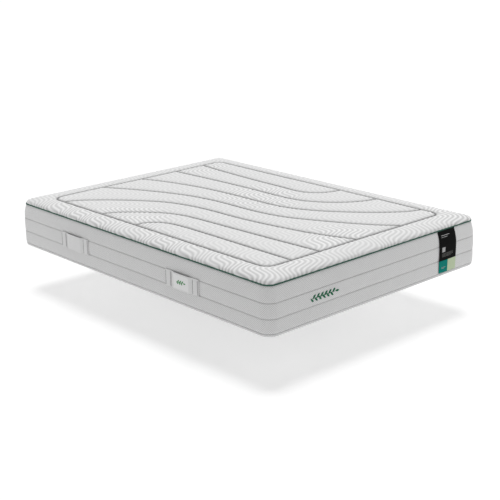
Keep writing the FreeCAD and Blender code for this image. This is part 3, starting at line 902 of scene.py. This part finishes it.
# ---- Materials -------------------------------------------------------------------------------
class Nodes:
    """A material's node tree, with short ways to add to it."""

    def __init__(self, name):
        self.material = bpy.data.materials.new(name)
        self.material.use_nodes = True
        self.tree = self.material.node_tree
        self.shader = self.tree.nodes["Principled BSDF"]

    def add(self, kind, inputs=None, **settings):
        """A node with its settings and inputs set: an input is a value or another node's output."""
        node = self.tree.nodes.new(kind)
        for key, value in settings.items():
            setattr(node, key, value)
        for key, value in (inputs or {}).items():
            self.join(value, node.inputs[key])
        return node

    def join(self, value, socket):
        """Links an output, or sets a value."""
        if isinstance(value, bpy.types.NodeSocket):
            self.tree.links.new(value, socket)
        else:
            socket.default_value = value

    def math(self, operation, a, b=0.0, c=0.0):
        """A maths node's output."""
        node = self.tree.nodes.new("ShaderNodeMath")
        node.operation = operation
        for socket, value in zip(node.inputs, (a, b, c)):
            self.join(value, socket)
        return node.outputs[0]

    def cloth(self):
        """The place on the flat cloth, in metres, as separate outputs."""
        place = self.add("ShaderNodeUVMap", uv_map="cloth").outputs[0]
        split = self.add("ShaderNodeSeparateXYZ", {0: place})
        return place, split.outputs[0], split.outputs[1]

    def ramp(self, value, stops):
        """A colour ramp's colour, from (position, grey or colour) stops."""
        node = self.add("ShaderNodeValToRGB", {0: value})
        while len(node.color_ramp.elements) < len(stops):
            node.color_ramp.elements.new(0.5)
        for element, (position, colour) in zip(node.color_ramp.elements, stops):
            element.position = position
            element.color = (*colour, 1)
        return node.outputs[0]

    def spots(self, place, scale, randomness, none_at, full_at):
        """Rows of round spots: 0 at one share of a cell from its centre, and 1 at another."""
        cell = {"Vector": place, "Scale": scale, "Randomness": randomness}
        cells = self.add("ShaderNodeTexVoronoi", cell, voronoi_dimensions="2D")
        span = {"Value": cells.outputs["Distance"], "From Min": none_at, "From Max": full_at}
        return self.add("ShaderNodeMapRange", span, interpolation_type="SMOOTHSTEP").outputs[0]

    def noise(self, place, scale, detail):
        """A noise texture's value."""
        inputs = {"Vector": place, "Scale": scale, "Detail": detail}
        return self.add("ShaderNodeTexNoise", inputs).outputs[0]

    def wave(self, value, pitch):
        """A sine of the given pitch along a value."""
        return self.math("SINE", self.math("MULTIPLY", value, 2 * math.pi / pitch))

    def attribute(self, name):
        """A point attribute's value."""
        return self.add("ShaderNodeAttribute", attribute_name=name).outputs["Fac"]

    def bump(self, height, strength, distance, under=None):
        """A bump's normal."""
        inputs = {"Height": height, "Strength": strength, "Distance": distance}
        if under is not None:
            inputs["Normal"] = under
        return self.add("ShaderNodeBump", inputs).outputs[0]

    def finish(self, colour, normal, roughness=0.85, sheen=0.2, specular=0.3):
        """Sets the shader's own sockets and hands back the material."""
        self.join(colour, self.shader.inputs["Base Color"])
        if normal is not None:
            self.join(normal, self.shader.inputs["Normal"])
        self.shader.inputs["Roughness"].default_value = roughness
        self.shader.inputs["Sheen Weight"].default_value = sheen
        self.shader.inputs["Sheen Roughness"].default_value = 0.5
        self.shader.inputs["Specular IOR Level"].default_value = specular
        return self.material


def mixed(nodes, share, first, second):
    """first where share is 0 and second where it is 1."""
    node = nodes.add("ShaderNodeMix", data_type="RGBA")
    nodes.join(share, node.inputs["Factor"])
    nodes.join((*first, 1) if isinstance(first, tuple) else first, node.inputs["A"])
    nodes.join((*second, 1) if isinstance(second, tuple) else second, node.inputs["B"])
    return node.outputs["Result"]


def grey(value):
    """A neutral colour."""
    return (value, value, value)


def top_knit():
    """Pale knit: raised ribs a little lighter than the valleys, partly the yarn's own tone and partly
    painted shade, painted shade along the seams, and fine loops.
    """
    nodes = Nodes("top_knit")
    place, x, y = nodes.cloth()
    patchy = nodes.noise(place, 9.0, 2.0)
    # Ribs lighter than valleys: partly the yarn's own tone, partly painted shade in the valleys.
    colour = nodes.ramp(nodes.attribute("rib"), [(0.1, grey(0.50)), (0.5, grey(0.64)), (0.9, grey(0.80))])
    colour = mixed(nodes, nodes.math("MULTIPLY", patchy, 0.12), colour, grey(0.56))
    # Painted shade along the seams' grooves.
    colour = mixed(nodes, nodes.math("MULTIPLY", nodes.attribute("seam"), 0.92), colour, grey(0.12))
    loops = nodes.math("MULTIPLY", nodes.wave(x, 1.9 * MM), nodes.wave(y, 1.5 * MM))
    fuzz = nodes.noise(place, 900.0, 3.0)
    normal = nodes.bump(loops, 0.35, 0.25 * MM)
    normal = nodes.bump(fuzz, 0.3, 0.3 * MM, normal)
    return nodes.finish(colour, normal, 0.9, 0.25, 0.2)


def border_knit():
    """Grey spacer mesh: rows of small holes with thick yarn between them."""
    nodes = Nodes("border_knit")
    place, _, _ = nodes.cloth()
    slanted = {"Vector": place, "Rotation": (0, 0, math.radians(45))}
    turned = nodes.add("ShaderNodeMapping", slanted).outputs[0]
    yarn = nodes.spots(turned, 150.0, 0.08, 0.14, 0.42)
    patchy = nodes.noise(place, 14.0, 3.0)
    colour = mixed(nodes, yarn, grey(0.42), grey(0.74))
    colour = mixed(nodes, nodes.math("MULTIPLY", patchy, 0.16), colour, grey(0.5))
    fuzz = nodes.noise(place, 1200.0, 2.0)
    # Painted shade by the stitched lines.
    colour = mixed(nodes, nodes.math("MULTIPLY", nodes.attribute("seam"), 0.32), colour, grey(0.16))
    normal = nodes.bump(yarn, 0.7, 0.6 * MM)
    normal = nodes.bump(fuzz, 0.25, 0.2 * MM, normal)
    return nodes.finish(colour, normal, 0.85, 0.1, 0.2)


def woven(name, dark, light, pitch, sheen=0.1, roughness=0.7, specular=0.3, twill=False):
    """Plain or twill weave of two close colours."""
    nodes = Nodes(name)
    place, x, y = nodes.cloth()
    if twill:
        x = nodes.math("ADD", x, y)
    crossings = nodes.math("MULTIPLY", nodes.wave(x, pitch), nodes.wave(y, pitch))
    weave = nodes.math("MULTIPLY_ADD", crossings, 0.5, 0.5)
    patchy = nodes.noise(place, 120.0, 3.0)
    shade = nodes.math("MULTIPLY_ADD", patchy, 0.5, nodes.math("MULTIPLY", weave, 0.6))
    colour = mixed(nodes, shade, dark, light)
    normal = nodes.bump(weave, 0.5, pitch / 5)
    return nodes.finish(colour, normal, roughness, sheen, specular)


def thread(name, dark, light, specular=0.3):
    """Smooth spun thread."""
    nodes = Nodes(name)
    place = nodes.add("ShaderNodeTexCoord").outputs["Object"]
    noise = nodes.noise(place, 1 / (0.9 * MM), 2.0)
    colour = mixed(nodes, noise, dark, light)
    return nodes.finish(colour, nodes.bump(noise, 0.4, 0.2 * MM), 0.6, 0.0, specular)


def foam(name, colour):
    """Cut open-cell foam."""
    nodes = Nodes(name)
    place = nodes.add("ShaderNodeTexCoord").outputs["Object"]
    cells = nodes.add("ShaderNodeTexVoronoi", {"Vector": place, "Scale": 500.0}).outputs["Distance"]
    shade = mixed(nodes, cells, tuple(0.8 * c for c in colour), colour)
    return nodes.finish(shade, nodes.bump(cells, 0.4, 0.6 * MM), 0.95, 0.0, 0.2)


def base_knit():
    """Plain base cloth with rows of small anti-slip dots."""
    nodes = Nodes("base_cloth")
    place, x, y = nodes.cloth()
    dot = nodes.spots(place, 90.0, 0.0, 0.24, 0.18)
    weave = nodes.math("MULTIPLY", nodes.wave(x, 1.6 * MM), nodes.wave(y, 1.6 * MM))
    colour = mixed(nodes, dot, grey(0.62), grey(0.74))
    normal = nodes.bump(weave, 0.4, 0.25 * MM)
    normal = nodes.bump(dot, 0.6, 0.5 * MM, normal)
    return nodes.finish(colour, normal, 0.8, 0.1, 0.3)


# ---- Assembly --------------------------------------------------------------------------------
materials = {
    "strap": woven("strap_webbing", grey(0.58), grey(0.76), 1.6 * MM),
    "tab": woven("tab_webbing", grey(0.56), grey(0.74), 1.3 * MM, twill=True),
    "badge": woven("badge_cloth", grey(0.66), grey(0.80), 0.9 * MM, 0.1, 0.5),
    "badge_green": thread("badge_green", (0.015, 0.19, 0.035), (0.03, 0.28, 0.07), specular=0.15),
    "embroidery": thread("green_embroidery", (0.0, 0.085, 0.035), (0.004, 0.16, 0.070), specular=0.15),
    # The bar tacks' thread, made darker as painted shade for the shadow line at a tab's end.
    "stitch": thread("grey_stitching", (0.11, 0.113, 0.116), (0.20, 0.204, 0.208)),
    "pale": woven("label_pale_green", (0.41, 0.49, 0.33), (0.53, 0.62, 0.43), 0.8 * MM, 0.0, 0.6, 0.1),
    "teal": woven("label_teal", (0.0, 0.15, 0.125), (0.0, 0.23, 0.19), 0.8 * MM, 0.0, 0.6, 0.06),
    "black": woven("label_black", grey(0.002), grey(0.006), 0.8 * MM, 0.0, 0.7, 0.04),
    "mark": thread("label_mark", (0.30, 0.30, 0.30), (0.45, 0.45, 0.45)),
    "mark_dim": thread("label_mark_dim", (0.12, 0.12, 0.11), (0.20, 0.20, 0.19)),
}
# The thread is pale; this darker grey is partly painted shade in the grooves where it lies.
pale_thread = thread("pale_thread", grey(0.22), grey(0.36))
quilted_top(top_knit())
border(border_knit())
underside(base_knit())
piping(thread("green_piping", (0.012, 0.060, 0.040), (0.030, 0.115, 0.080)))
quilting_stitches(pale_thread)
border_stitches(pale_thread, thread("base_seam_thread", grey(0.44), grey(0.60)))
for side_name in ("left", "right"):
    for end_name in ("head", "foot"):
        handle(side_name, end_name, materials)
label(materials)
embroidery(materials["embroidery"])

inner = {
    "support_core": foam("support_foam", (0.80, 0.80, 0.76)),
    "comfort_foam_layer": foam("comfort_foam", (0.55, 0.75, 0.68)),
    "memory_foam_layer": foam("memory_foam", (0.86, 0.86, 0.83)),
    "piping_flange": materials["strap"],
}
for node, material in inner.items():
    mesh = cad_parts[node].data
    mesh.materials.clear()
    mesh.materials.append(material)


# ---- Stage, lights and camera ----------------------------------------------------------------
FLOOR_DROP = 0.252  # the mattress is shown above the floor, with its soft shadow below it
SKY = 0.42


def floor():
    """A wide pale floor that glows a little, so that it stays white round the soft shadow."""
    nodes = Nodes("floor")
    material = nodes.finish((0.92, 0.92, 0.92, 1), None, 0.9, 0.0, 0.0)
    nodes.shader.inputs["Emission Color"].default_value = (1, 1, 1, 1)
    nodes.shader.inputs["Emission Strength"].default_value = 0.32
    size = 120
    corners = [(-size, -size), (size, -size), (size, size), (-size, size)]
    points = np.array([(x, y, -FLOOR_DROP) for x, y in corners])
    piece = make_piece("floor", points, [(0, 1, 2, 3)], material)
    return piece


def sun(name, way, softness, power):
    """A distant soft light that comes from the way given."""
    light = bpy.data.lights.new(name, "SUN")
    light.angle = math.radians(softness)
    light.energy = power * math.pi
    lamp = bpy.data.objects.new(name, light)
    lamp.rotation_euler = (-Vector(way)).to_track_quat("-Z", "Y").to_euler()
    bpy.context.scene.collection.objects.link(lamp)
    return lamp


def soft_box(name, place, size, power):
    """A square soft light that faces the mattress and isn't seen itself."""
    light = bpy.data.lights.new(name, "AREA")
    light.size = size
    light.energy = power
    lamp = bpy.data.objects.new(name, light)
    lamp.location = place
    lamp.rotation_euler = (-Vector(place)).to_track_quat("-Z", "Y").to_euler()
    lamp.visible_camera = False
    bpy.context.scene.collection.objects.link(lamp)


def back_light(stage_floor):
    """A soft light from behind that rakes the quilting, and leaves the floor as it is."""
    lamp = sun("back", (0.57, 0.47, 0.68), 12, 0.60)
    receivers = bpy.data.collections.new("lit_from_behind")
    receivers.objects.link(stage_floor)
    receivers.collection_objects[0].light_linking.link_state = "EXCLUDE"
    lamp.light_linking.receiver_collection = receivers


def camera():
    """The camera looks at the origin from the foot's left."""
    azimuth, elevation, roll = (math.radians(a) for a in (-41.71, 17.803, -1.176))
    distance = 5.5635
    back = Vector((
        math.sin(azimuth) * math.cos(elevation),
        -math.cos(azimuth) * math.cos(elevation),
        math.sin(elevation),
    ))
    data = bpy.data.cameras.new("camera")
    data.lens = 78.57
    data.sensor_width = 36
    data.shift_x = 0.0195
    data.shift_y = 0.0070
    data.clip_end = 200
    shot = bpy.data.objects.new("camera", data)
    shot.location = back * distance
    shot.rotation_mode = "QUATERNION"
    turn = (-back).to_track_quat("-Z", "Y").to_matrix() @ Matrix.Rotation(roll, 3, "Z")
    shot.rotation_quaternion = turn.to_quaternion()
    bpy.context.scene.collection.objects.link(shot)
    bpy.context.scene.camera = shot


back_light(floor())
sun("overhead", (0.02, 0.02, 1.0), 30, 0.36)
soft_box("foot_fill", (2.4, -2.0, 0.8), 0.8, 8)
soft_box("head_fill", (-2.2, 2.6, 0.8), 0.8, 7)
camera()
world = bpy.data.worlds.new("studio")
world.use_nodes = True
background = world.node_tree.nodes["Background"]
background.inputs["Color"].default_value = (1, 1, 1, 1)
ray = world.node_tree.nodes.new("ShaderNodeLightPath")
seen = world.node_tree.nodes.new("ShaderNodeMapRange")  # white where it's seen, dimmer as a light
seen.inputs["To Min"].default_value = SKY
world.node_tree.links.new(ray.outputs["Is Camera Ray"], seen.inputs["Value"])
world.node_tree.links.new(seen.outputs[0], background.inputs["Strength"])
bpy.context.scene.world = world
bpy.context.scene.view_settings.view_transform = "Standard"
